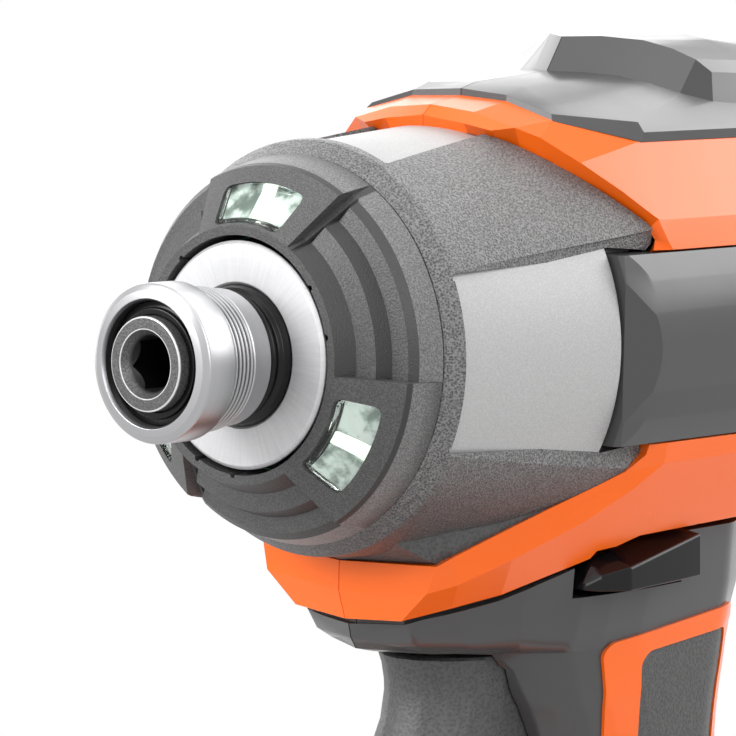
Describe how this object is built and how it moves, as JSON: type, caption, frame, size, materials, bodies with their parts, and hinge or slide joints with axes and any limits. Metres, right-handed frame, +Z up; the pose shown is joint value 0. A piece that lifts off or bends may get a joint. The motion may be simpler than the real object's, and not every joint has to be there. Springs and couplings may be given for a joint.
{
  "type": "cordless impact driver",
  "caption": "Pistol-grip cordless impact driver with a quick-change hexagon chuck, ring of nose lamps, push-through selector, trigger and slide-on battery pack.",
  "frame": {"origin": "middle of the battery pack's flat base, on the tool's plane of symmetry", "axes": "+X forward along the spindle, +Y to the tool's left, +Z up from the base to the spindle"},
  "size_m": [0.1483, 0.0882, 0.2365],
  "materials": {
    "orange_case": "moulded satin",
    "grey_skin": "soft moulded skin",
    "case_metal": "fine cast grain",
    "cover_grey": "textured",
    "nose_grey": "satin",
    "lens": "clear",
    "board": "printed board",
    "sleeve_metal": "satin turned",
    "tool_steel": "hardened, dark",
    "bright_steel": "ground",
    "spring_steel": "drawn wire",
    "seal": "smooth",
    "bronze": "sintered",
    "plate": "cast",
    "laminations": "stamped sheets",
    "copper": "enamelled wire",
    "white_plastic": "moulded",
    "fan_black": "moulded",
    "lead_red": "insulated wire",
    "control_black": "gloss",
    "contact": "plated",
    "pack_black": "textured",
    "pack_grey": "textured",
    "cell_wrap": "wrapped cell",
    "hook_steel": "plated strip",
    "screw_steel": "zinc plated"
  },
  "bodies": {
    "housing": {"left_housing": "orange_case", "right_housing": "orange_case", "left_overmold": "grey_skin", "right_overmold": "grey_skin", "hammer_case": "case_metal", "case_cover": "cover_grey", "nose_cap": "nose_grey", "led_lenses": "lens", "lamp_board": "board", "anvil_bushing": "bronze", "ring_gear": "bright_steel", "gear_back_plate": "plate", "front_bearing": "bright_steel", "rear_bearing": "bright_steel", "stator_core": "laminations", "stator_insulators": "white_plastic", "stator_windings": "copper", "sensor_board": "board", "motor_leads": "lead_red", "switch_body": "fan_black", "trigger_spring": "spring_steel", "control_module": "board", "terminal_block": "fan_black", "terminal_blades": "contact", "hook_inserts": "contact", "belt_hook": "hook_steel", "belt_hook_screw": "screw_steel", "housing_screws": "screw_steel", "case_screws": "screw_steel"},
    "carrier": {"cam_shaft": "tool_steel", "planet_pins": "bright_steel", "cam_balls": "bright_steel", "hammer_spring": "spring_steel"},
    "hammer": {"hammer": "tool_steel"},
    "planet_a": {"planet_gear_a": "bright_steel"},
    "planet_b": {"planet_gear_b": "bright_steel"},
    "planet_c": {"planet_gear_c": "bright_steel"},
    "rotor": {"rotor_shaft": "bright_steel", "rotor_core": "laminations", "cooling_fan": "fan_black"},
    "anvil": {"anvil": "tool_steel", "bit_balls": "bright_steel", "snap_ring": "bright_steel", "spring_cup": "bright_steel", "sleeve_spring": "spring_steel", "bumper_ring": "seal"},
    "sleeve": {"chuck_sleeve": "sleeve_metal"},
    "trigger": {"trigger": "control_black"},
    "selector": {"direction_selector": "control_black"},
    "mode_button": {"mode_button": "control_black"},
    "battery": {"battery_upper_shell": "pack_black", "battery_lower_shell": "pack_grey", "battery_cells": "cell_wrap", "cell_carrier": "white_plastic", "battery_board": "board", "battery_contacts": "contact", "battery_screws": "screw_steel"},
    "left_latch": {"left_latch": "pack_grey"},
    "right_latch": {"right_latch": "pack_grey"},
    "gauge_button": {"gauge_button": "control_black"}
  },
  "joints": [
    {"name": "carrier_spin", "type": "hinge", "parent": "housing", "child": "carrier", "pos_m": [0.0334, 0, 0.195], "axis": [1, 0, 0], "continuous": true},
    {"name": "hammer_slide", "type": "slide", "parent": "carrier", "child": "hammer", "axis": [-1, 0, 0], "range_m": [0, 0.007], "stiffness_N_per_m": 4000, "springref_m": -0.004, "deforming": ["hammer_spring"]},
    {"name": "rotor_spin", "type": "hinge", "parent": "housing", "child": "rotor", "pos_m": [0, 0, 0.195], "axis": [1, 0, 0], "continuous": true},
    {"name": "planet_a_spin", "type": "hinge", "parent": "carrier", "child": "planet_a", "pos_m": [0.0274, 0.0108, 0.195], "axis": [1, 0, 0], "continuous": true},
    {"name": "planet_b_spin", "type": "hinge", "parent": "carrier", "child": "planet_b", "pos_m": [0.0274, -0.0054, 0.20435], "axis": [1, 0, 0], "continuous": true},
    {"name": "planet_c_spin", "type": "hinge", "parent": "carrier", "child": "planet_c", "pos_m": [0.0274, -0.0054, 0.18565], "axis": [1, 0, 0], "continuous": true},
    {"name": "anvil_spin", "type": "hinge", "parent": "housing", "child": "anvil", "pos_m": [0.07, 0, 0.195], "axis": [1, 0, 0], "continuous": true},
    {"name": "sleeve_pull", "type": "slide", "parent": "anvil", "child": "sleeve", "axis": [1, 0, 0], "range_m": [0, 0.0036], "stiffness_N_per_m": 900, "springref_m": -0.002, "deforming": ["sleeve_spring"]},
    {"name": "trigger_pull", "type": "slide", "parent": "housing", "child": "trigger", "axis": [-1, 0, 0], "range_m": [0, 0.008], "stiffness_N_per_m": 600, "springref_m": -0.004, "deforming": ["trigger_spring"]},
    {"name": "selector_push", "type": "slide", "parent": "housing", "child": "selector", "axis": [0, 1, 0], "range_m": [-0.003, 0.003]},
    {"name": "mode_press", "type": "slide", "parent": "housing", "child": "mode_button", "axis": [0, 0, -1], "range_m": [0, 0.0012], "stiffness_N_per_m": 900, "springref_m": -0.0012},
    {"name": "battery_slide", "type": "slide", "parent": "housing", "child": "battery", "axis": [1, 0, 0], "range_m": [0, 0.095]},
    {"name": "left_latch_press", "type": "slide", "parent": "battery", "child": "left_latch", "axis": [0, -1, 0], "range_m": [0, 0.003], "stiffness_N_per_m": 900, "springref_m": -0.002},
    {"name": "right_latch_press", "type": "slide", "parent": "battery", "child": "right_latch", "axis": [0, 1, 0], "range_m": [0, 0.003], "stiffness_N_per_m": 900, "springref_m": -0.002},
    {"name": "gauge_press", "type": "slide", "parent": "battery", "child": "gauge_button", "axis": [-1, 0, 0], "range_m": [0, 0.0012], "stiffness_N_per_m": 900, "springref_m": -0.0012}
  ],
  "couplings": [
    {"joint": "rotor_spin", "follows": "carrier_spin", "ratio": 6},
    {"joint": "anvil_spin", "follows": "carrier_spin", "ratio": 1},
    {"joint": "planet_a_spin", "follows": "carrier_spin", "ratio": -2.5},
    {"joint": "planet_b_spin", "follows": "carrier_spin", "ratio": -2.5},
    {"joint": "planet_c_spin", "follows": "carrier_spin", "ratio": -2.5}
  ]
}
